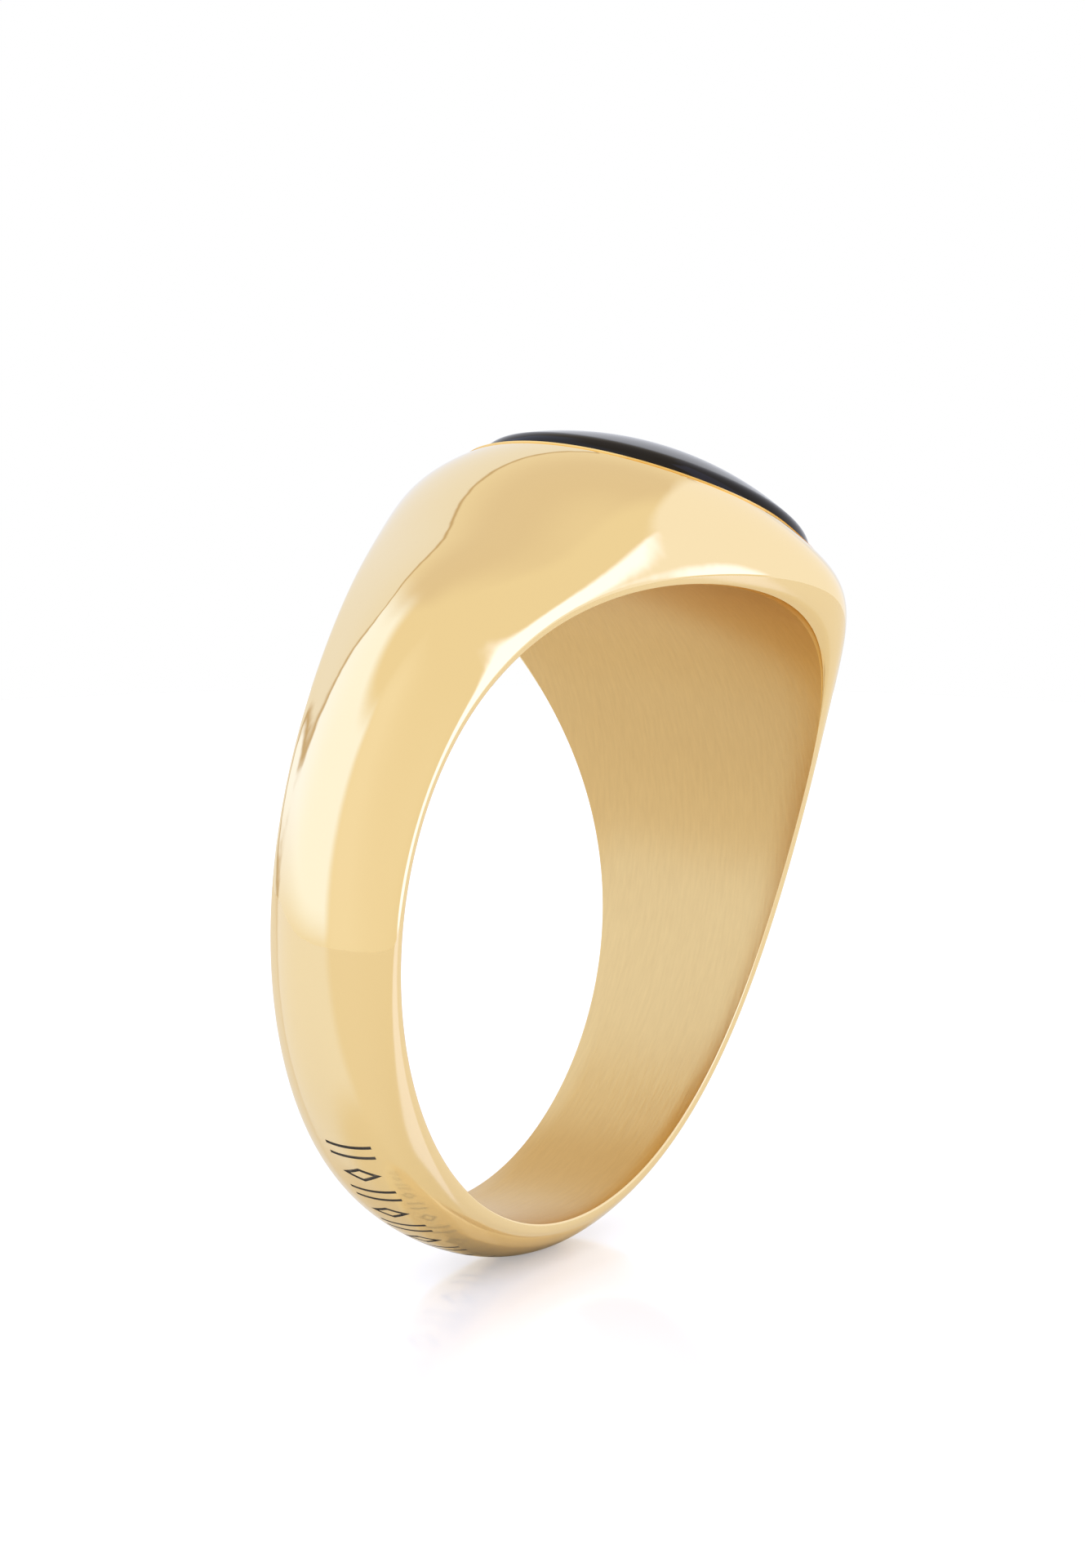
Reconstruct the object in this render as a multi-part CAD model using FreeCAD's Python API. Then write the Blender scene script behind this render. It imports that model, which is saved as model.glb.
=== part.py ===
"""A signet ring: one cast body with a stone seat, a bed of adhesive and a domed black stone.

The origin is the centre of the finger bore, +Y runs along the bore and +Z through the middle of the stone.
Lengths are in millimetres. The angle of a section of the band is measured about the bore from +Z, in degrees.
"""

import FreeCAD, Part
import math
import os

# Finger bore, and the level plane on which the head ends
BORE_RADIUS = 9.25
BEZEL_HEIGHT = 11.6

# Half width of the band where it meets the bore: behind the finger, beside it and under the head
BACK_HALF_WIDTH = 2.0
SIDE_HALF_WIDTH = 2.35
HEAD_HALF_WIDTH = 5.9

# Thickness at the middle of the band, behind the finger and beside it, and the rise of the shoulders
BACK_THICKNESS = 1.1
SIDE_THICKNESS = 1.55
SHOULDER_RISE = 2.3
SHOULDER_SPREAD = 34
SHOULDER_POWER = 3.5

# The crown is lower again in the middle of the head, so that its sides stay upright up to the bezel
HEAD_DIP = 0.6
HEAD_DIP_SPREAD = 10

# Rounded edge of the band: how far it stands out past the bore, its height, and what the head adds to both
EDGE_SWELL = 0.04
EDGE_HEIGHT = 0.18
HEAD_EXTRA_SWELL = 0.85
HEAD_EXTRA_HEIGHT = 0.65
HEAD_SPREAD = 20

# Fullness of the curve from the edge to the crown, across the band and outwards. Zero is an ellipse.
FULLNESS_ACROSS = {"head": 0.1, "side": -0.1, "back": 0.15}
FULLNESS_OUTWARD = {"head": -0.15, "side": -0.7, "back": -0.4}

# How finely the outer surface follows its formula
SECTIONS_ROUND_RING = 120
CROWN_STEPS = 40
ROUND_OVER_STEPS = 4
ROUND_OVER_SWEEP = math.radians(60)
EDGE_OVERRUN = 0.2
CORE_RADIUS = 0.90 * BORE_RADIUS

# Oval stone with an upright girdle and a low dome, and the seat that holds it
STONE_HALF_LENGTH = 4.99
STONE_HALF_WIDTH = 4.57
STONE_TOTAL_HEIGHT = 2.57
STONE_GIRDLE_STAND = 0.42
STONE_DOME_HEIGHT = 1.32
STONE_SHOULDER_RADIUS = 0.45
STONE_CLEARANCE = 0.03
ADHESIVE_THICKNESS = 0.12
BEZEL_EDGE_RADIUS = 0.07

# Row of shallow cuts on the outside of the lower band: bars in pairs, with an open lozenge between one pair
# and the next. Their floor curves like the crown of the band.
MOTIF_COUNT = 9
MOTIF_PITCH = 5.6
MOTIF_DEPTH = 0.06
MOTIF_FLOOR_RADIUS = 3.2
MOTIF_STROKE = 0.12
BAR_LENGTH = 1.50
BAR_SPACING = 0.42
LOZENGE_LENGTH = 1.30
LOZENGE_WIDTH = 0.62

CUTTER_REACH = 30.0


def swelling(angle, spread, power=2.0):
    """One at the middle of the head, falling away smoothly to nothing round the ring."""
    return math.exp(-((abs(angle) / spread) ** power))


def blend(values, angle):
    """A value that runs from the head by way of the side to the back."""
    height = math.cos(math.radians(angle))
    end = values["head"] if height > 0 else values["back"]
    return values["side"] + (end - values["side"]) * height**2


def half_width_at(angle):
    """Half width at the bore. It widens by the same factor for each equal step upwards."""
    height = math.cos(math.radians(angle))
    taper = SIDE_HALF_WIDTH - BACK_HALF_WIDTH
    factor = (HEAD_HALF_WIDTH - SIDE_HALF_WIDTH) / taper
    return BACK_HALF_WIDTH + taper * (factor ** (height + 1) - 1) / (factor - 1)


def crown_at(angle):
    """Thickness at the middle of the band."""
    depth = max(0.0, -math.cos(math.radians(angle)))
    band = SIDE_THICKNESS - (SIDE_THICKNESS - BACK_THICKNESS) * depth**3
    rise = SHOULDER_RISE * swelling(angle, SHOULDER_SPREAD, SHOULDER_POWER)
    return band + rise - HEAD_DIP * swelling(angle, HEAD_DIP_SPREAD)


def edge_at(angle):
    """How far the rounded edge stands out past the bore, and its height."""
    head = swelling(angle, HEAD_SPREAD)
    return EDGE_SWELL + HEAD_EXTRA_SWELL * head, EDGE_HEIGHT + HEAD_EXTRA_HEIGHT * head


def half_section(angle):
    """Points (across, out) from inside the bore to the crown on one side of the band."""
    half_width = half_width_at(angle)
    swell, edge_height = edge_at(angle)
    fullness_across = blend(FULLNESS_ACROSS, angle)
    fullness_outward = blend(FULLNESS_OUTWARD, angle)
    points = []
    for step in range(ROUND_OVER_STEPS, 0, -1):
        turn = ROUND_OVER_SWEEP * step / ROUND_OVER_STEPS
        across = half_width + swell * math.cos(turn)
        out = BORE_RADIUS + edge_height * (1 - math.sin(turn))
        points.append((across, out))
    lead_across = points[0][0] - half_width
    lead_out = points[0][1] - BORE_RADIUS
    lead = EDGE_OVERRUN / math.hypot(lead_across, lead_out)
    overrun = (half_width - lead_across * lead, BORE_RADIUS - lead_out * lead)
    core = (overrun[0], CORE_RADIUS)
    points = [core, overrun, (half_width, BORE_RADIUS)] + points
    for step in range(CROWN_STEPS // 2):
        turn = math.pi * step / CROWN_STEPS
        side = math.cos(turn)
        rise = math.sin(turn)
        across = (half_width + swell) * side * (1 + fullness_across * rise**2)
        climb = rise * (1 + fullness_outward * side**2)
        out = BORE_RADIUS + edge_height + (crown_at(angle) - edge_height) * climb
        points.append((across, out))
    return points


def section_poles(angle):
    """The whole closed section at one angle, as points in space."""
    half = half_section(angle)
    crown = (0.0, BORE_RADIUS + crown_at(angle))
    other_half = [(-across, out) for across, out in reversed(half)]
    poles = []
    for across, out in half + [crown] + other_half:
        x = out * math.sin(math.radians(angle))
        z = out * math.cos(math.radians(angle))
        poles.append(FreeCAD.Vector(x, across, z))
    return poles


def band_solid():
    """A smooth closed ring whose outer side is the finished one and whose inner side lies within the bore."""
    angles = [360.0 * index / SECTIONS_ROUND_RING - 180.0 for index in range(SECTIONS_ROUND_RING)]
    poles = [section_poles(angle) for angle in angles]
    around = len(poles)
    across = len(poles[0])
    surface = Part.BSplineSurface()
    surface.buildFromPolesMultsKnots(
        poles,
        [1] * (around + 1),
        [1] * (across + 1),
        [float(knot) for knot in range(around + 1)],
        [float(knot) for knot in range(across + 1)],
        True,
        True,
        3,
        3,
    )
    solid = Part.Solid(Part.Shell([surface.toShape()]))
    if solid.Volume < 0:
        solid.reverse()
    return solid


def oval_prism(half_width, half_length, bottom, top):
    """An upright oval prism, with its long side along the bore."""
    oval = Part.Ellipse(
        FreeCAD.Vector(0, half_length, bottom),
        FreeCAD.Vector(half_width, 0, bottom),
        FreeCAD.Vector(0, 0, bottom),
    )
    face = Part.Face(Part.Wire([oval.toShape()]))
    return face.extrude(FreeCAD.Vector(0, 0, top - bottom))


def stone_base_height():
    return BEZEL_HEIGHT + STONE_GIRDLE_STAND + STONE_DOME_HEIGHT - STONE_TOTAL_HEIGHT


def seat_height():
    return stone_base_height() - ADHESIVE_THICKNESS


def bore():
    start = FreeCAD.Vector(0, -CUTTER_REACH / 2, 0)
    return Part.makeCylinder(BORE_RADIUS, CUTTER_REACH, start, FreeCAD.Vector(0, 1, 0))


def space_above_bezel():
    corner = FreeCAD.Vector(-CUTTER_REACH / 2, -CUTTER_REACH / 2, BEZEL_HEIGHT)
    return Part.makeBox(CUTTER_REACH, CUTTER_REACH, CUTTER_REACH, corner)


def stone_seat():
    return oval_prism(
        STONE_HALF_WIDTH + STONE_CLEARANCE,
        STONE_HALF_LENGTH + STONE_CLEARANCE,
        seat_height(),
        BEZEL_HEIGHT + 1.0,
    )


def bezel_edges(body):
    """The outer and inner edges of the narrow level rim round the stone."""
    return [
        edge
        for edge in body.Edges
        if abs(edge.BoundBox.ZMin - BEZEL_HEIGHT) < 1e-4 and abs(edge.BoundBox.ZMax - BEZEL_HEIGHT) < 1e-4
    ]


def upright_prism(corners, bottom, top):
    """A prism over a flat outline given as (x, y) corners."""
    points = [FreeCAD.Vector(x, y, bottom) for x, y in corners]
    face = Part.Face(Part.makePolygon(points + points[:1]))
    return face.extrude(FreeCAD.Vector(0, 0, top - bottom))


def curved_cutter(length, left, right, floor, top):
    """A block from left to right whose floor is highest in the middle of its length."""
    end = length / 2
    drop = MOTIF_FLOOR_RADIUS - math.sqrt(MOTIF_FLOOR_RADIUS**2 - end**2)
    start_of_floor = FreeCAD.Vector(left, -end, floor - drop)
    end_of_floor = FreeCAD.Vector(left, end, floor - drop)
    roof_start = FreeCAD.Vector(left, -end, top)
    roof_end = FreeCAD.Vector(left, end, top)
    outline = Part.Wire(
        [
            Part.Arc(start_of_floor, FreeCAD.Vector(left, 0, floor), end_of_floor).toShape(),
            Part.makeLine(end_of_floor, roof_end),
            Part.makeLine(roof_end, roof_start),
            Part.makeLine(roof_start, start_of_floor),
        ]
    )
    return Part.Face(outline).extrude(FreeCAD.Vector(right - left, 0, 0))


def lozenge(length, width, bottom, top):
    end = length / 2
    side = width / 2
    return upright_prism([(0, -end), (side, 0), (0, end), (-side, 0)], bottom, top)


def bar_cutters(floor, top):
    edges = [side * BAR_SPACING / 2 - MOTIF_STROKE / 2 for side in (-1, 1)]
    return [curved_cutter(BAR_LENGTH, edge, edge + MOTIF_STROKE, floor, top) for edge in edges]


def lozenge_cutter(floor, top):
    """The outline of a lozenge, one stroke wide."""
    side = LOZENGE_WIDTH / 2
    margin = 2 * MOTIF_STROKE * math.hypot(LOZENGE_LENGTH, LOZENGE_WIDTH)
    inner_length = LOZENGE_LENGTH - margin / LOZENGE_WIDTH
    inner_width = LOZENGE_WIDTH - margin / LOZENGE_LENGTH
    bottom = floor - 1.0
    stroke = lozenge(LOZENGE_LENGTH, LOZENGE_WIDTH, bottom, top)
    stroke = stroke.cut(lozenge(inner_length, inner_width, bottom - 1.0, top + 1.0))
    return stroke.common(curved_cutter(LOZENGE_LENGTH, -side, side, floor, top))


def motif_cutters():
    """Cutters for the row of marks, centred on the bottom of the band."""
    cutters = []
    for index in range(MOTIF_COUNT):
        angle = 180.0 + MOTIF_PITCH * (index - (MOTIF_COUNT - 1) / 2)
        crown_radius = BORE_RADIUS + crown_at(angle)
        floor = crown_radius - MOTIF_DEPTH
        top = crown_radius + 1.0
        marks = [lozenge_cutter(floor, top)] if index % 2 else bar_cutters(floor, top)
        for mark in marks:
            mark.rotate(FreeCAD.Vector(0, 0, 0), FreeCAD.Vector(0, 1, 0), angle)
            cutters.append(mark)
    return cutters


def ring_body():
    body = band_solid().cut(bore()).cut(space_above_bezel()).cut(stone_seat())
    body = body.makeFillet(BEZEL_EDGE_RADIUS, bezel_edges(body))
    return body.cut(motif_cutters())


def stone():
    """A round cabochon turned from its profile and then stretched along the bore to an oval."""
    base = stone_base_height()
    girdle_top = BEZEL_HEIGHT + STONE_GIRDLE_STAND
    apex = girdle_top + STONE_DOME_HEIGHT
    dome_radius = (STONE_HALF_WIDTH**2 + STONE_DOME_HEIGHT**2) / (2 * STONE_DOME_HEIGHT)
    halfway = math.asin(STONE_HALF_WIDTH / dome_radius) / 2
    on_dome = FreeCAD.Vector(
        dome_radius * math.sin(halfway), 0, apex - dome_radius * (1 - math.cos(halfway))
    )
    axis_base = FreeCAD.Vector(0, 0, base)
    axis_top = FreeCAD.Vector(0, 0, apex)
    rim_base = FreeCAD.Vector(STONE_HALF_WIDTH, 0, base)
    rim_top = FreeCAD.Vector(STONE_HALF_WIDTH, 0, girdle_top)
    profile = Part.Wire(
        [
            Part.makeLine(axis_base, rim_base),
            Part.makeLine(rim_base, rim_top),
            Part.Arc(rim_top, on_dome, axis_top).toShape(),
            Part.makeLine(axis_top, axis_base),
        ]
    )
    turned = Part.Face(profile).revolve(FreeCAD.Vector(0, 0, 0), FreeCAD.Vector(0, 0, 1), 360)
    shoulder = [
        edge
        for edge in turned.Edges
        if abs(edge.BoundBox.ZMin - girdle_top) < 1e-4 and abs(edge.BoundBox.ZMax - girdle_top) < 1e-4
    ]
    turned = turned.makeFillet(STONE_SHOULDER_RADIUS, shoulder)
    stretch = FreeCAD.Matrix()
    stretch.scale(1.0, STONE_HALF_LENGTH / STONE_HALF_WIDTH, 1.0)
    return turned.transformGeometry(stretch)


def adhesive_bed():
    return oval_prism(STONE_HALF_WIDTH, STONE_HALF_LENGTH, seat_height(), stone_base_height())


def main():
    os.makedirs("parts", exist_ok=True)
    nodes = {"ring_body": ring_body(), "stone": stone(), "adhesive_bed": adhesive_bed()}
    for name, shape in nodes.items():
        solid = shape.Solids[0]
        box = solid.optimalBoundingBox()
        size = "{:.2f} x {:.2f} x {:.2f} mm".format(box.XLength, box.YLength, box.ZLength)
        print(name, len(shape.Solids), "solid,", size, "valid" if solid.isValid() else "NOT VALID")
        solid.exportStep("parts/" + name + ".step")


main()
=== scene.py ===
"""The looks of a gold-plated signet ring with a domed black stone, standing on a white studio floor.

Lengths are in metres and angles in degrees, in the frame of the CAD model: the origin is the centre of
the finger bore, +Y runs along the bore and +Z through the middle of the stone. The studio is a second
frame, turned about the bore, in which +Z is straight up and the ring rests on its band.
"""

import math
from collections import namedtuple

import bmesh
import bpy
from mathutils import Matrix, Vector

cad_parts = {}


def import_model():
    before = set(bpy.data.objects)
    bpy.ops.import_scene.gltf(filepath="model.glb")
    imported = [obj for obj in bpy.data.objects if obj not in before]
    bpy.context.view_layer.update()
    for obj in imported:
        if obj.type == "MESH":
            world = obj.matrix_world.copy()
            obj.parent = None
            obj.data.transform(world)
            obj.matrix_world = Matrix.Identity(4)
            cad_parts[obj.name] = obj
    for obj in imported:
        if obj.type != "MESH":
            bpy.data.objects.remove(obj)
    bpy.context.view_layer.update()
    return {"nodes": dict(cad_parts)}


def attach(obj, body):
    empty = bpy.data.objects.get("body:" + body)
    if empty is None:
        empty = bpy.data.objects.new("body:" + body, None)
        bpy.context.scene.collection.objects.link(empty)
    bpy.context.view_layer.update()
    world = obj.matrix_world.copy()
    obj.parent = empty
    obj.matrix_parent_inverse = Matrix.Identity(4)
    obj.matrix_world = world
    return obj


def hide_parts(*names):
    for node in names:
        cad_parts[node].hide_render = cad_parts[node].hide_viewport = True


MM = 0.001

# Finger bore, and the level plane on which the head ends
BORE_RADIUS = 9.25 * MM
BEZEL_HEIGHT = 11.6 * MM

# Half width of the band where it meets the bore: behind the finger, beside it and under the head
BACK_HALF_WIDTH = 2.0 * MM
SIDE_HALF_WIDTH = 2.35 * MM
HEAD_HALF_WIDTH = 5.9 * MM

# Thickness at the middle of the band, behind the finger and beside it, and the rise of the shoulders
BACK_THICKNESS = 1.1 * MM
SIDE_THICKNESS = 1.55 * MM
SHOULDER_RISE = 2.3 * MM
SHOULDER_SPREAD = 34
SHOULDER_POWER = 3.5

# The crown dips in the middle of the head, which makes the level rim an even oval
HEAD_DIP = 0.6 * MM
HEAD_DIP_SPREAD = 10

# Rounded edge of the band: how far it stands out past the bore, its height, and what the head adds to both
EDGE_SWELL = 0.04 * MM
EDGE_HEIGHT = 0.18 * MM
HEAD_EXTRA_SWELL = 0.85 * MM
HEAD_EXTRA_HEIGHT = 0.65 * MM
HEAD_SPREAD = 20

# Fullness of the curve from the edge to the crown, across the band and outwards. Zero is an ellipse.
FULLNESS_ACROSS = {"head": 0.1, "side": -0.1, "back": 0.15}
FULLNESS_OUTWARD = {"head": -0.15, "side": -0.7, "back": -0.4}

# Oval stone with an upright girdle and a low dome, and the seat that holds it
STONE_HALF_LENGTH = 4.99 * MM
STONE_HALF_WIDTH = 4.57 * MM
STONE_TOTAL_HEIGHT = 2.57 * MM
STONE_GIRDLE_STAND = 0.42 * MM
STONE_DOME_HEIGHT = 1.32 * MM
STONE_SHOULDER_RADIUS = 0.45 * MM
STONE_BASE_CHAMFER = 0.08 * MM
STONE_CLEARANCE = 0.03 * MM
ADHESIVE_THICKNESS = 0.12 * MM
BEZEL_EDGE_RADIUS = 0.07 * MM
BEZEL_SETBACK = 0.04 * MM

# Row of shallow cuts on the outside of the lower band: bars in pairs, with an open lozenge between one pair
# and the next. Their floor curves like the crown of the band.
MOTIF_COUNT = 9
MOTIF_PITCH = 5.6
MOTIF_DEPTH = 0.06 * MM
MOTIF_FLOOR_RADIUS = 3.2 * MM
MOTIF_STROKE = 0.12 * MM
BAR_LENGTH = 1.50 * MM
BAR_SPACING = 0.42 * MM
LOZENGE_LENGTH = 1.30 * MM
LOZENGE_WIDTH = 0.62 * MM
STROKE_STEPS = 8

# How finely the meshes follow their formulas, and how close two points of a mesh may lie
SECTIONS_ROUND_RING = 480
CROWN_STEPS = 44
ROUND_OVER_STEPS = 12
BORE_STEPS = 8
FILLET_STEPS = 6
STONE_DOME_RINGS = 40
STONE_SIDES = 256
SHARP_ANGLE = 32
CUT_TOLERANCE = 0.0001 * MM
MERGE_DISTANCE = 0.01 * MM
CUTTER_STAND = 1.0 * MM

# The ring rests on its band with the head tipped back by this much, and the camera stands in the studio
STUDIO_TIP = 34.4
CAMERA_AZIMUTH = -57.5
CAMERA_ELEVATION = 13.9
CAMERA_DISTANCE = 460 * MM
CAMERA_LENS_MM = 375
CAMERA_SENSOR_MM = 36
CAMERA_NEAREST = 10 * MM
CAMERA_FARTHEST = 10000 * MM
CAMERA_AIM_RIGHT = 0.7 * MM
CAMERA_AIM_UP = 2.95 * MM

SLOT_POLISHED, SLOT_BORE, SLOT_MARK = range(3)

# White acrylic floor: its size and colour, the warmer colour that the gold shows, and its reflection
FLOOR_RADIUS = 70 * MM
FLOOR_SIDES = 96
FLOOR_COLOUR = (0.90, 0.90, 0.91)
FLOOR_WARM_COLOUR = (0.86, 0.78, 0.60)
FLOOR_ROUGHNESS = 0.12
FLOOR_GLOSS = 0.35
FLOOR_LIFT = 0.30

# Colours of the materials, as pairs between which each one varies
POLISHED_GOLD = (0.95, 0.745, 0.40), (0.96, 0.76, 0.41)
SATIN_GOLD = (0.68, 0.45, 0.18), (0.80, 0.55, 0.22)
DARKENED_STEEL = (0.10, 0.085, 0.065), (0.22, 0.19, 0.15)
BLACK_STONE = (0.0025, 0.0025, 0.003), (0.006, 0.006, 0.007)
STONE_SHEEN = (1, 0.85, 0.68, 1)
RESIN = (0.05, 0.045, 0.04), (0.10, 0.09, 0.075)

# Marks of the brush in the bore: a radian round it counts as this much, which draws them out
BRUSH_RADIAN = 1.2 * MM

# Soft panels round the ring, each over the ones before it, in degrees. Azimuths are from the camera, positive
# to its right, and elevations from the horizon. A panel has corners of a radius, fades over its softness, and
# with an edge shows a dark frame of that width.
Panel = namedtuple("Panel", "azimuths elevations corner softness colour edge", defaults=(0,))
ROOM_COLOUR = (0.90, 0.85, 0.75)
EDGE_COLOUR = (0.60, 0.48, 0.34)
PANELS = (
    Panel((-28, 12), (-20, 75), 15, 15, (0.95, 0.92, 0.87)),
    Panel((-150, -27), (-7, 58), 8, 8, (1.06, 1.20, 1.60)),
    Panel((142, 217), (38, 72), 12, 12, (0.80, 0.73, 0.65)),
    Panel((31, 110), (-10, 67), 14, 2, (1.30, 1.45, 2.20)),
    Panel((-217, -143), (-30, 32), 8, 1, (0.90, 0.92, 1.00), 1.2),
    Panel((69, 161), (-68, 67), 45, 2, (1.00, 1.02, 1.14)),
)


def swelling(angle, spread, power=2.0):
    """One at the middle of the head, falling away smoothly to nothing round the ring."""
    return math.exp(-((abs(angle) / spread) ** power))


def blend(values, angle):
    """A value that runs from the head by way of the side to the back."""
    height = math.cos(math.radians(angle))
    end = values["head"] if height > 0 else values["back"]
    return values["side"] + (end - values["side"]) * height**2


def half_width_at(angle):
    """Half width at the bore. It widens by the same factor for each equal step upwards."""
    height = math.cos(math.radians(angle))
    taper = SIDE_HALF_WIDTH - BACK_HALF_WIDTH
    factor = (HEAD_HALF_WIDTH - SIDE_HALF_WIDTH) / taper
    return BACK_HALF_WIDTH + taper * (factor ** (height + 1) - 1) / (factor - 1)


def crown_at(angle):
    """Thickness at the middle of the band."""
    depth = max(0.0, -math.cos(math.radians(angle)))
    band = SIDE_THICKNESS - (SIDE_THICKNESS - BACK_THICKNESS) * depth**3
    rise = SHOULDER_RISE * swelling(angle, SHOULDER_SPREAD, SHOULDER_POWER)
    return band + rise - HEAD_DIP * swelling(angle, HEAD_DIP_SPREAD)


def edge_at(angle):
    """How far the rounded edge stands out past the bore, and its height."""
    head = swelling(angle, HEAD_SPREAD)
    return EDGE_SWELL + HEAD_EXTRA_SWELL * head, EDGE_HEIGHT + HEAD_EXTRA_HEIGHT * head


def half_section(angle):
    """Points (across, out) of one side of the band, from the crown to the edge of the bore."""
    half_width = half_width_at(angle)
    swell, edge_height = edge_at(angle)
    fullness_across = blend(FULLNESS_ACROSS, angle)
    fullness_outward = blend(FULLNESS_OUTWARD, angle)
    points = []
    for step in range(CROWN_STEPS, 0, -1):
        turn = math.pi / 2 * step / CROWN_STEPS
        side = math.cos(turn)
        rise = math.sin(turn)
        across = (half_width + swell) * side * (1 + fullness_across * rise**2)
        climb = rise * (1 + fullness_outward * side**2)
        points.append((across, BORE_RADIUS + edge_height + (crown_at(angle) - edge_height) * climb))
    for step in range(ROUND_OVER_STEPS + 1):
        turn = math.pi / 2 * step / ROUND_OVER_STEPS
        across = half_width + swell * math.cos(turn)
        points.append((across, BORE_RADIUS + edge_height * (1 - math.sin(turn))))
    return points


def section(angle):
    """The closed section at one angle, as points (across, out), and the material of the face after each."""
    half = half_section(angle)
    edge = half[-1][0]
    bore = [(edge * (1 - 2 * step / BORE_STEPS), BORE_RADIUS) for step in range(1, BORE_STEPS)]
    other_half = [(-across, out) for across, out in reversed(half[1:])]
    points = half + bore + other_half
    slots = [SLOT_POLISHED] * (len(half) - 1) + [SLOT_BORE] * BORE_STEPS
    slots += [SLOT_POLISHED] * (len(points) - len(slots))
    return points, slots


def add_band(mesh):
    """The whole band and head as one closed ring of quads, before the head is cut level."""
    rows = []
    for index in range(SECTIONS_ROUND_RING):
        angle = 360.0 * index / SECTIONS_ROUND_RING - 180.0
        points, slots = section(angle)
        turn = math.radians(angle)
        row = []
        for across, out in points:
            place = (out * math.sin(turn), across, out * math.cos(turn))
            row.append(mesh.verts.new(place))
        rows.append(row)
    for index, row in enumerate(rows):
        following = rows[(index + 1) % len(rows)]
        for step, slot in enumerate(slots):
            after = (step + 1) % len(row)
            face = mesh.faces.new((row[step], row[after], following[after], following[step]))
            face.material_index = slot


def add_loop(mesh, places):
    return [mesh.verts.new(place) for place in places]


def bridge(mesh, lower, upper):
    """Quads between two closed loops of as many points each."""
    for index in range(len(lower)):
        after = (index + 1) % len(lower)
        mesh.faces.new((lower[index], lower[after], upper[after], upper[index]))


def rounded_corner(start, corner, end):
    """Points on the curve that leaves start towards corner and arrives at end, without its first point."""
    points = []
    for step in range(1, FILLET_STEPS + 1):
        part = step / FILLET_STEPS
        points.append(start.lerp(corner, part).lerp(corner.lerp(end, part), part))
    return points


def oval_point(half_width, half_length, height, towards):
    """The point of a level oval that lies in the direction of another point, seen from above."""
    turn = math.atan2(towards.y / half_length, towards.x / half_width)
    return Vector((half_width * math.cos(turn), half_length * math.sin(turn), height))


def cut_head_level(mesh):
    """Removes what stands above the bezel and returns the loop left just below it, in order."""
    everything = mesh.verts[:] + mesh.edges[:] + mesh.faces[:]
    cut_at = Vector((0, 0, BEZEL_HEIGHT - BEZEL_SETBACK))
    bmesh.ops.bisect_plane(
        mesh,
        geom=everything,
        dist=CUT_TOLERANCE,
        plane_co=cut_at,
        plane_no=Vector((0, 0, 1)),
        clear_outer=True,
    )
    rim = [vert for vert in mesh.verts if vert.is_boundary]
    bmesh.ops.remove_doubles(mesh, verts=rim, dist=MERGE_DISTANCE)
    mesh.normal_update()
    rim = [vert for vert in mesh.verts if vert.is_boundary]
    return sorted(rim, key=lambda vert: math.atan2(vert.co.y, vert.co.x))


def bezel_corner(vert, following):
    """Where the side of the head would meet the level of the bezel, above one point of the cut."""
    along = (following.co - vert.co).normalized()
    upward = vert.normal.cross(along)
    if upward.z < 0:
        upward = -upward
    return vert.co + upward * (BEZEL_HEIGHT - vert.co.z) / upward.z


def add_bezel_and_seat(mesh):
    """Rounds the outer edge of the bezel over to its narrow rim, and sinks the seat of the stone."""
    rim = cut_head_level(mesh)
    half_width = STONE_HALF_WIDTH + STONE_CLEARANCE
    half_length = STONE_HALF_LENGTH + STONE_CLEARANCE
    apex_height = BEZEL_HEIGHT + STONE_GIRDLE_STAND + STONE_DOME_HEIGHT
    seat_height = apex_height - STONE_TOTAL_HEIGHT - ADHESIVE_THICKNESS
    radius = BEZEL_EDGE_RADIUS
    columns = []
    for index, vert in enumerate(rim):
        corner = bezel_corner(vert, rim[(index + 1) % len(rim)])
        inward = Vector((-vert.normal.x, -vert.normal.y, 0)).normalized()
        level = corner + inward * (corner - vert.co).length
        rim_inner = oval_point(half_width + radius, half_length + radius, BEZEL_HEIGHT, vert.co)
        edge = oval_point(half_width, half_length, BEZEL_HEIGHT, vert.co)
        wall_top = edge - Vector((0, 0, radius))
        seat_edge = Vector((edge.x, edge.y, seat_height))
        column = rounded_corner(vert.co, corner, level) + [level.lerp(rim_inner, 0.5), rim_inner]
        column += rounded_corner(rim_inner, edge, wall_top) + [seat_edge]
        columns.append(column)
    loop = rim
    for places in zip(*columns):
        following = add_loop(mesh, places)
        bridge(mesh, loop, following)
        loop = following
    mesh.faces.new(loop)


def mark_floor_drop(y):
    """Height of a mark's curved floor at a distance from the middle of the band, where it is zero."""
    return math.sqrt(MOTIF_FLOOR_RADIUS**2 - y**2) - MOTIF_FLOOR_RADIUS


def add_stroke(mesh, left, right, crown_radius, turn):
    """A cutter between two lines of (x, y) points that run side by side, turned about the bore."""
    floor = crown_radius - MOTIF_DEPTH
    roof = crown_radius + CUTTER_STAND
    loops = []
    for (x1, y1), (x2, y2) in zip(left, right):
        bottom = [(x1, y1, floor + mark_floor_drop(y1)), (x2, y2, floor + mark_floor_drop(y2))]
        corners = bottom + [(x2, y2, roof), (x1, y1, roof)]
        loops.append(add_loop(mesh, [turn @ Vector(corner) for corner in corners]))
    for loop, following in zip(loops, loops[1:]):
        bridge(mesh, loop, following)
    return loops


def line_of_points(start, end):
    """Evenly spaced (x, y) points from start to end, with both."""
    parts = [step / STROKE_STEPS for step in range(STROKE_STEPS + 1)]
    return [(start[0] + (end[0] - start[0]) * part, start[1] + (end[1] - start[1]) * part) for part in parts]


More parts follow.
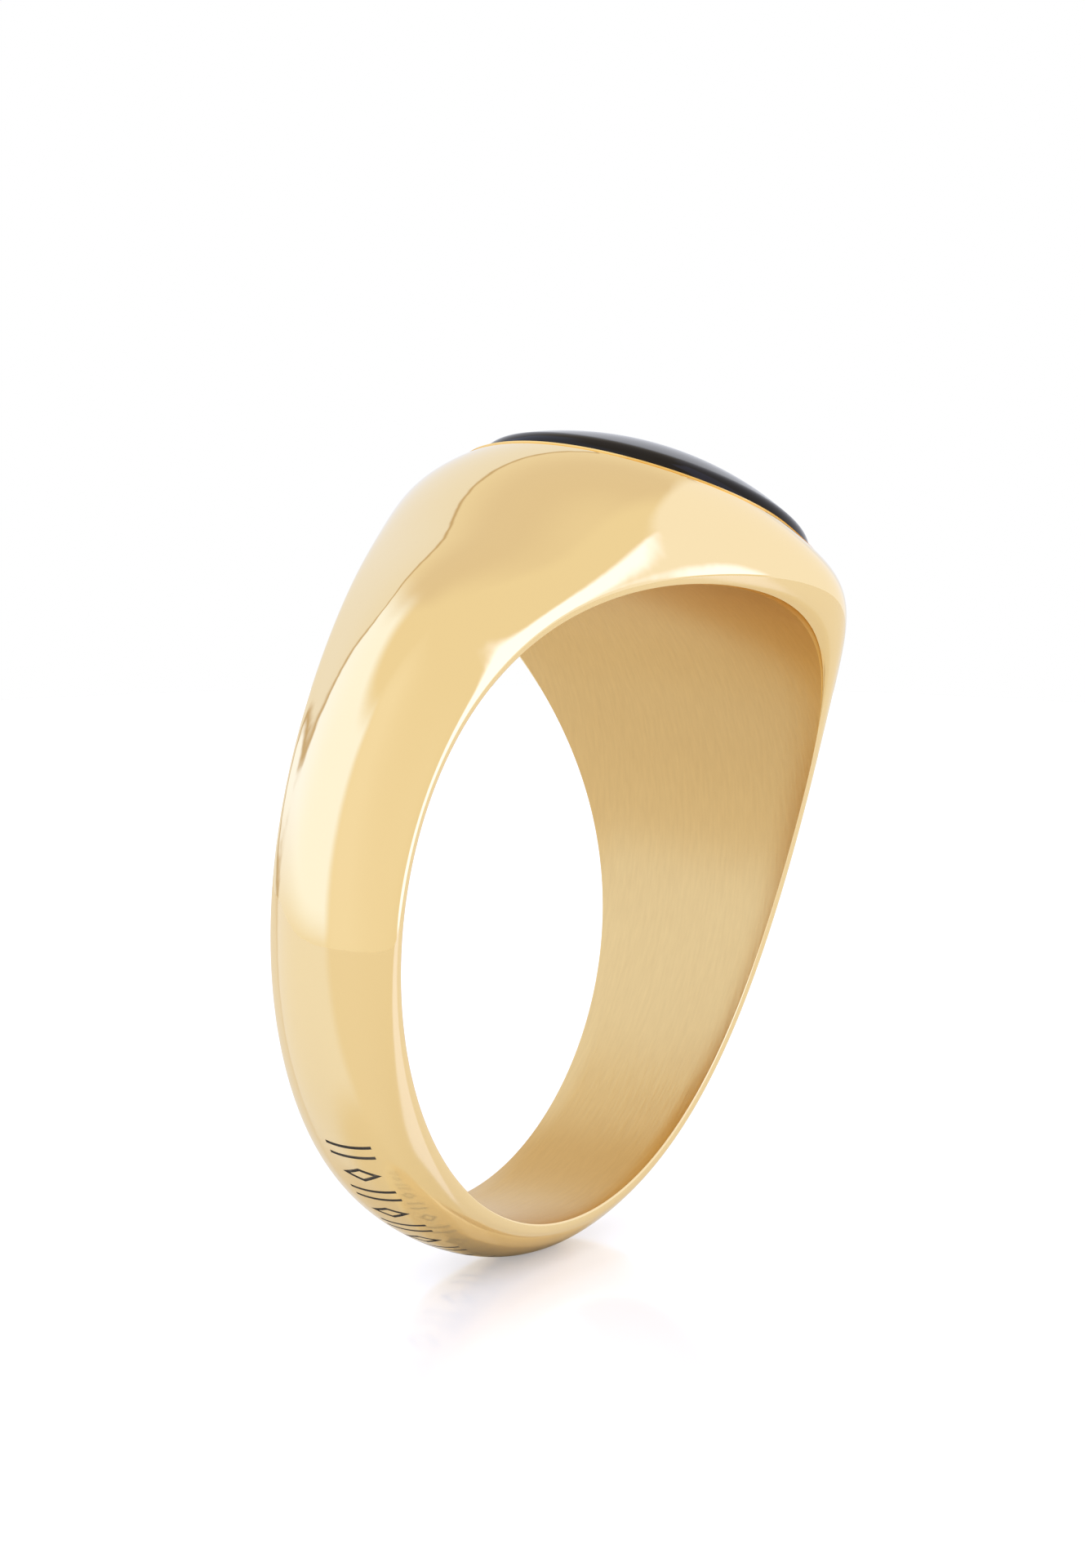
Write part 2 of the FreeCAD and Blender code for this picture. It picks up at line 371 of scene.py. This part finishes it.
def add_bar(mesh, offset, crown_radius, turn):
    """One straight cutter along the bore, at an offset from the middle of its pair."""
    end = BAR_LENGTH / 2
    left = offset - MOTIF_STROKE / 2
    right = offset + MOTIF_STROKE / 2
    sides = [line_of_points((x, -end), (x, end)) for x in (left, right)]
    loops = add_stroke(mesh, *sides, crown_radius, turn)
    mesh.faces.new(loops[0])
    mesh.faces.new(loops[-1])


def add_lozenge(mesh, crown_radius, turn):
    """The outline of a lozenge, one stroke wide, as one closed cutter."""
    margin = 2 * MOTIF_STROKE * math.hypot(LOZENGE_LENGTH, LOZENGE_WIDTH)
    sizes = [
        (LOZENGE_WIDTH / 2, LOZENGE_LENGTH / 2),
        ((LOZENGE_WIDTH - margin / LOZENGE_LENGTH) / 2, (LOZENGE_LENGTH - margin / LOZENGE_WIDTH) / 2),
    ]
    outlines = []
    for side, end in sizes:
        corners = [(0, -end), (side, 0), (0, end), (-side, 0), (0, -end)]
        outline = []
        for start, finish in zip(corners, corners[1:]):
            outline += line_of_points(start, finish)[:-1]
        outlines.append(outline)
    loops = add_stroke(mesh, *outlines, crown_radius, turn)
    bridge(mesh, loops[-1], loops[0])


def motif_cutter():
    """All the marks of the lower band as one object of separate cutters."""
    mesh = bmesh.new()
    for index in range(MOTIF_COUNT):
        angle = 180.0 + MOTIF_PITCH * (index - (MOTIF_COUNT - 1) / 2)
        crown_radius = BORE_RADIUS + crown_at(angle)
        turn = Matrix.Rotation(math.radians(angle), 3, "Y")
        if index % 2:
            add_lozenge(mesh, crown_radius, turn)
        else:
            add_bar(mesh, -BAR_SPACING / 2, crown_radius, turn)
            add_bar(mesh, BAR_SPACING / 2, crown_radius, turn)
    for face in mesh.faces:
        face.material_index = SLOT_MARK
    return object_from(mesh, "motif_cutter")


def object_from(mesh, name):
    """A smooth-shaded object from a bmesh, with outward normals and crisp edges where it turns sharply."""
    bmesh.ops.recalc_face_normals(mesh, faces=mesh.faces[:])
    for face in mesh.faces:
        face.smooth = True
    data = bpy.data.meshes.new(name)
    mesh.to_mesh(data)
    mesh.free()
    data.set_sharp_from_angle(angle=math.radians(SHARP_ANGLE))
    thing = bpy.data.objects.new(name, data)
    bpy.context.scene.collection.objects.link(thing)
    return thing


def ring_body(materials):
    """The casting: band, head and seat in one mesh, with the row of marks cut into it."""
    mesh = bmesh.new()
    add_band(mesh)
    add_bezel_and_seat(mesh)
    body = object_from(mesh, "ring_body_finished")
    cutter = motif_cutter()
    for thing in (body, cutter):
        for material in materials:
            thing.data.materials.append(material)
    cut = body.modifiers.new("motif", "BOOLEAN")
    cut.operation = "DIFFERENCE"
    cut.solver = "EXACT"
    cut.object = cutter
    graph = bpy.context.evaluated_depsgraph_get()
    finished = bpy.data.meshes.new_from_object(body.evaluated_get(graph))
    body.modifiers.clear()
    body.data = finished
    finished.set_sharp_from_angle(angle=math.radians(SHARP_ANGLE))
    bpy.data.objects.remove(cutter)
    return body


def stone_profile():
    """Points (out, up) from the middle of the dome down to the edge of the base, before the oval stretch."""
    girdle_top = BEZEL_HEIGHT + STONE_GIRDLE_STAND
    base = girdle_top + STONE_DOME_HEIGHT - STONE_TOTAL_HEIGHT
    dome_radius = (STONE_HALF_WIDTH**2 + STONE_DOME_HEIGHT**2) / (2 * STONE_DOME_HEIGHT)
    centre_height = girdle_top + STONE_DOME_HEIGHT - dome_radius
    shoulder = STONE_SHOULDER_RADIUS
    shoulder_out = STONE_HALF_WIDTH - shoulder
    shoulder_rise = math.sqrt((dome_radius - shoulder) ** 2 - shoulder_out**2)
    shoulder_height = centre_height + shoulder_rise
    meeting = math.asin(shoulder_out / (dome_radius - shoulder))
    points = []
    for step in range(1, STONE_DOME_RINGS + 1):
        turn = meeting * step / STONE_DOME_RINGS
        points.append((dome_radius * math.sin(turn), centre_height + dome_radius * math.cos(turn)))
    for step in range(1, ROUND_OVER_STEPS + 1):
        turn = meeting + (math.pi / 2 - meeting) * step / ROUND_OVER_STEPS
        points.append((shoulder_out + shoulder * math.sin(turn), shoulder_height + shoulder * math.cos(turn)))
    points.append((STONE_HALF_WIDTH, base + STONE_BASE_CHAMFER))
    points.append((STONE_HALF_WIDTH - STONE_BASE_CHAMFER, base))
    return points, girdle_top + STONE_DOME_HEIGHT


def stone(material):
    """The cabochon: its profile turned about the upright axis and stretched along the bore."""
    mesh = bmesh.new()
    profile, apex_height = stone_profile()
    stretch = STONE_HALF_LENGTH / STONE_HALF_WIDTH
    loops = []
    for out, up in profile:
        turns = [2 * math.pi * side / STONE_SIDES for side in range(STONE_SIDES)]
        places = [Vector((out * math.cos(turn), out * math.sin(turn) * stretch, up)) for turn in turns]
        loops.append(add_loop(mesh, places))
    apex = mesh.verts.new(Vector((0, 0, apex_height)))
    for side in range(STONE_SIDES):
        mesh.faces.new((loops[0][side], loops[0][(side + 1) % STONE_SIDES], apex))
    for upper, lower in zip(loops, loops[1:]):
        bridge(mesh, upper, lower)
    mesh.faces.new(loops[-1])
    piece = object_from(mesh, "black_cabochon")
    piece.data.materials.append(material)
    return piece


class Nodes:
    """Short calls for building one node tree, for a material or for the world."""

    def __init__(self, owner, output="OutputMaterial"):
        owner.use_nodes = True
        self.owner = owner
        self.tree = owner.node_tree
        self.tree.nodes.clear()
        self.output = self.tree.nodes.new("ShaderNode" + output)

    def add(self, kind, settings=None, inputs=None):
        """A node with its settings, and its inputs given as constants or as other nodes' outputs."""
        node = self.tree.nodes.new("ShaderNode" + kind)
        for key, value in (settings or {}).items():
            setattr(node, key, value)
        for key, value in (inputs or {}).items():
            if isinstance(value, bpy.types.NodeSocket):
                self.tree.links.new(value, node.inputs[key])
            else:
                node.inputs[key].default_value = value
        return node

    def math(self, operation, *values):
        return self.add("Math", {"operation": operation}, dict(enumerate(values))).outputs[0]

    def along(self, vector, axis):
        """The length of a vector along a fixed axis."""
        return self.add("VectorMath", {"operation": "DOT_PRODUCT"}, {0: vector, 1: axis}).outputs["Value"]

    def noise(self, place, scale, detail=2.0, roughness=0.5):
        inputs = {"Vector": place, "Scale": scale, "Detail": detail, "Roughness": roughness}
        return self.add("TexNoise", {}, inputs).outputs["Fac"]

    def spread(self, value, low, high):
        """Takes a 0 to 1 value to the range low to high."""
        return self.add("MapRange", {}, {"Value": value, "To Min": low, "To Max": high}).outputs["Result"]

    def step(self, value, off, on):
        """Goes smoothly from 0 where the value is off to 1 where it is on."""
        inputs = {"Value": value, "From Min": off, "From Max": on}
        return self.add("MapRange", {"interpolation_type": "SMOOTHSTEP"}, inputs).outputs["Result"]

    def between(self, value, first, second):
        """A colour between two, by a 0 to 1 value. Each is a colour or another node's output."""
        inputs = {0: value}
        for key, colour in ((6, first), (7, second)):
            inputs[key] = colour if isinstance(colour, bpy.types.NodeSocket) else (*colour, 1)
        return self.add("Mix", {"data_type": "RGBA"}, inputs).outputs[2]

    def bump(self, height, distance, strength=1.0):
        inputs = {"Height": height, "Distance": distance, "Strength": strength}
        return self.add("Bump", {}, inputs).outputs["Normal"]

    def finish(self, shader):
        self.tree.links.new(shader.outputs[0], self.output.inputs["Surface"])
        return self.owner


def material_nodes(name):
    return Nodes(bpy.data.materials.new(name))


def polished_gold():
    """Mirror-polished plating: soft unevenness from the hand polish, and faint wipe marks in the gloss."""
    n = material_nodes("polished_gold_plating")
    place = n.add("TexCoord").outputs["Object"]
    cloud = n.noise(place, scale=260, detail=3)
    wave = n.noise(place, scale=900, detail=2)
    colour = n.between(cloud, *POLISHED_GOLD)
    roughness = n.spread(cloud, low=0.02, high=0.05)
    normal = n.bump(wave, distance=0.012 * MM, strength=0.35)
    shader = n.add(
        "BsdfPrincipled",
        {},
        {"Base Color": colour, "Metallic": 1.0, "Roughness": roughness, "Normal": normal},
    )
    return n.finish(shader)


def satin_gold():
    """The bore: brushed round and round, so the fine lines follow the finger hole."""
    n = material_nodes("satin_gold_bore")
    place = n.add("TexCoord").outputs["Object"]
    parts = n.add("SeparateXYZ", {}, {0: place}).outputs
    turn = n.math("ARCTAN2", parts["X"], parts["Z"])
    round_bore = n.math("MULTIPLY", turn, BRUSH_RADIAN)
    stretched = n.add("CombineXYZ", {}, {"X": round_bore, "Y": parts["Y"], "Z": 0.0})
    lines = n.noise(stretched.outputs[0], scale=9000, detail=4, roughness=0.65)
    cloud = n.noise(place, scale=420, detail=4, roughness=0.6)
    colour = n.between(lines, *SATIN_GOLD)
    roughness = n.spread(cloud, low=0.24, high=0.36)
    fine = n.bump(lines, distance=0.01 * MM, strength=0.5)
    shader = n.add(
        "BsdfPrincipled",
        {},
        {"Base Color": colour, "Metallic": 1.0, "Roughness": roughness, "Normal": fine},
    )
    return n.finish(shader)


def laser_mark():
    """The darkened steel inside the cuts of the band."""
    n = material_nodes("laser_darkened_steel")
    place = n.add("TexCoord").outputs["Object"]
    grain = n.noise(place, scale=16000, detail=3, roughness=0.7)
    colour = n.between(grain, *DARKENED_STEEL)
    shader = n.add(
        "BsdfPrincipled",
        {},
        {
            "Base Color": colour,
            "Metallic": 0.35,
            "Roughness": n.spread(grain, low=0.45, high=0.7),
            "Normal": n.bump(grain, distance=0.01 * MM, strength=0.6),
        },
    )
    return n.finish(shader)


def black_stone():
    """Polished black stone: almost no colour of its own, with the faintest cloud in its depth."""
    n = material_nodes("polished_black_stone")
    place = n.add("TexCoord").outputs["Object"]
    cloud = n.noise(place, scale=500, detail=4, roughness=0.6)
    colour = n.between(cloud, *BLACK_STONE)
    shader = n.add(
        "BsdfPrincipled",
        {},
        {
            "Base Color": colour,
            "Roughness": n.spread(cloud, low=0.05, high=0.09),
            "IOR": 1.35,
            "Specular Tint": STONE_SHEEN,
        },
    )
    return n.finish(shader)


def cured_adhesive():
    """The bed under the stone: dark, slightly cloudy resin."""
    n = material_nodes("cured_adhesive")
    place = n.add("TexCoord").outputs["Object"]
    cloud = n.noise(place, scale=700, detail=3, roughness=0.5)
    colour = n.between(cloud, *RESIN)
    shader = n.add(
        "BsdfPrincipled",
        {},
        {"Base Color": colour, "Roughness": n.spread(cloud, low=0.25, high=0.4), "IOR": 1.5},
    )
    return n.finish(shader)


def studio():
    """Turns places and directions of the studio into those of the CAD model."""
    return Matrix.Rotation(math.radians(-STUDIO_TIP), 3, "Y")


def direction(azimuth, elevation):
    """Unit vector in the studio: azimuth 0 is towards -Y and 90 towards +X."""
    a = math.radians(azimuth)
    e = math.radians(elevation)
    return Vector((math.sin(a) * math.cos(e), -math.cos(a) * math.cos(e), math.sin(e)))


def add_camera():
    """A long lens, aimed a little to the right of the bore's centre and above it."""
    back = direction(CAMERA_AZIMUTH, CAMERA_ELEVATION)
    turn = back.to_track_quat("Z", "Y").to_matrix()
    aim = turn @ Vector((CAMERA_AIM_RIGHT, CAMERA_AIM_UP, 0))
    place = back * CAMERA_DISTANCE
    sight = (place - aim).normalized().to_track_quat("Z", "Y").to_matrix()
    data = bpy.data.cameras.new("camera")
    data.lens = CAMERA_LENS_MM
    data.sensor_width = CAMERA_SENSOR_MM
    data.clip_start = CAMERA_NEAREST
    data.clip_end = CAMERA_FARTHEST
    camera = bpy.data.objects.new("camera", data)
    camera.matrix_world = Matrix.Translation(studio() @ place) @ (studio() @ sight).to_4x4()
    bpy.context.scene.collection.objects.link(camera)
    bpy.context.scene.camera = camera


def floor_material():
    """White acrylic with a soft reflection. The camera sees it lifted to pure white, and only from above."""
    n = material_nodes("white_acrylic")
    seen = n.add("LightPath").outputs["Is Camera Ray"]
    diffuse = n.add("BsdfDiffuse", {}, {"Color": n.between(seen, FLOOR_WARM_COLOUR, FLOOR_COLOUR)})
    gloss = n.add("BsdfGlossy", {}, {"Color": (1, 1, 1, 1), "Roughness": FLOOR_ROUGHNESS})
    acrylic = n.add("MixShader", {}, {0: FLOOR_GLOSS, 1: diffuse.outputs[0], 2: gloss.outputs[0]})
    lift = n.math("MULTIPLY", seen, FLOOR_LIFT)
    glow = n.add("Emission", {}, {"Color": (1, 1, 1, 1), "Strength": lift})
    top = n.add("AddShader", {}, {0: acrylic.outputs[0], 1: glow.outputs[0]})
    under = n.add("BsdfTransparent")
    behind = n.add("NewGeometry").outputs["Backfacing"]
    return n.finish(n.add("MixShader", {}, {0: behind, 1: top.outputs[0], 2: under.outputs[0]}))


def add_floor(body):
    """A round floor that touches the lowest point of the ring."""
    upright = studio().transposed()
    level = min((upright @ vert.co).z for vert in body.data.vertices)
    turns = [2 * math.pi * side / FLOOR_SIDES for side in range(FLOOR_SIDES)]
    mesh = bmesh.new()
    rim = [Vector((FLOOR_RADIUS * math.cos(turn), FLOOR_RADIUS * math.sin(turn), level)) for turn in turns]
    mesh.faces.new(add_loop(mesh, rim))
    floor = object_from(mesh, "studio_floor")
    if floor.data.polygons[0].normal.z < 0:
        floor.data.flip_normals()
    floor.data.materials.append(floor_material())
    floor.matrix_world = studio().to_4x4()


def panel_distance(n, azimuth, elevation, panel):
    """How far a direction is outside the rounded outline of a panel, in degrees."""
    low, high = panel.azimuths
    bottom, top = panel.elevations
    corner = panel.corner
    offset = n.math("ABSOLUTE", n.math("SUBTRACT", azimuth, (low + high) / 2))
    wrapped = n.math("SUBTRACT", 180.0, n.math("ABSOLUTE", n.math("SUBTRACT", 180.0, offset)))
    rise = n.math("ABSOLUTE", n.math("SUBTRACT", elevation, (bottom + top) / 2))
    across = n.math("SUBTRACT", wrapped, (high - low) / 2 - corner)
    upward = n.math("SUBTRACT", rise, (top - bottom) / 2 - corner)
    past_side = n.math("MAXIMUM", across, 0.0)
    past_end = n.math("MAXIMUM", upward, 0.0)
    squares = n.math("ADD", n.math("MULTIPLY", past_side, past_side), n.math("MULTIPLY", past_end, past_end))
    within = n.math("MINIMUM", n.math("MAXIMUM", across, upward), 0.0)
    return n.math("SUBTRACT", n.math("ADD", n.math("SQRT", squares), within), corner)


def set_world():
    """The soft light of the studio, as the panels that stand round the ring. The camera sees only white."""
    world = bpy.data.worlds.new("studio_light")
    bpy.context.scene.world = world
    n = Nodes(world, "OutputWorld")
    sight = n.add("TexCoord").outputs["Generated"]
    forward = n.along(sight, studio() @ direction(CAMERA_AZIMUTH, 0))
    rightward = n.along(sight, studio() @ direction(CAMERA_AZIMUTH + 90, 0))
    upward = n.along(sight, studio() @ Vector((0, 0, 1)))
    azimuth = n.math("DEGREES", n.math("ARCTAN2", rightward, forward))
    elevation = n.math("DEGREES", n.math("ARCSINE", upward))
    light = ROOM_COLOUR
    for panel in PANELS:
        distance = panel_distance(n, azimuth, elevation, panel)
        inside = n.step(distance, panel.softness, -panel.softness)
        light = n.between(inside, light, panel.colour)
        if panel.edge:
            on_edge = n.step(n.math("ABSOLUTE", distance), panel.edge, 0)
            light = n.between(on_edge, light, EDGE_COLOUR)
    path = n.add("LightPath")
    seen = n.between(path.outputs["Is Camera Ray"], light, (1, 1, 1))
    n.finish(n.add("Background", {}, {"Color": seen, "Strength": 1.0}))


def main():
    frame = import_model()
    body = ring_body([polished_gold(), satin_gold(), laser_mark()])
    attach(body, "root")
    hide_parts("ring_body")
    cabochon = stone(black_stone())
    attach(cabochon, "root")
    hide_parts("stone")
    bed = frame["nodes"]["adhesive_bed"]
    bed.data.materials.clear()
    bed.data.materials.append(cured_adhesive())
    add_camera()
    add_floor(body)
    set_world()
    bpy.context.scene.view_settings.view_transform = "Standard"


main()
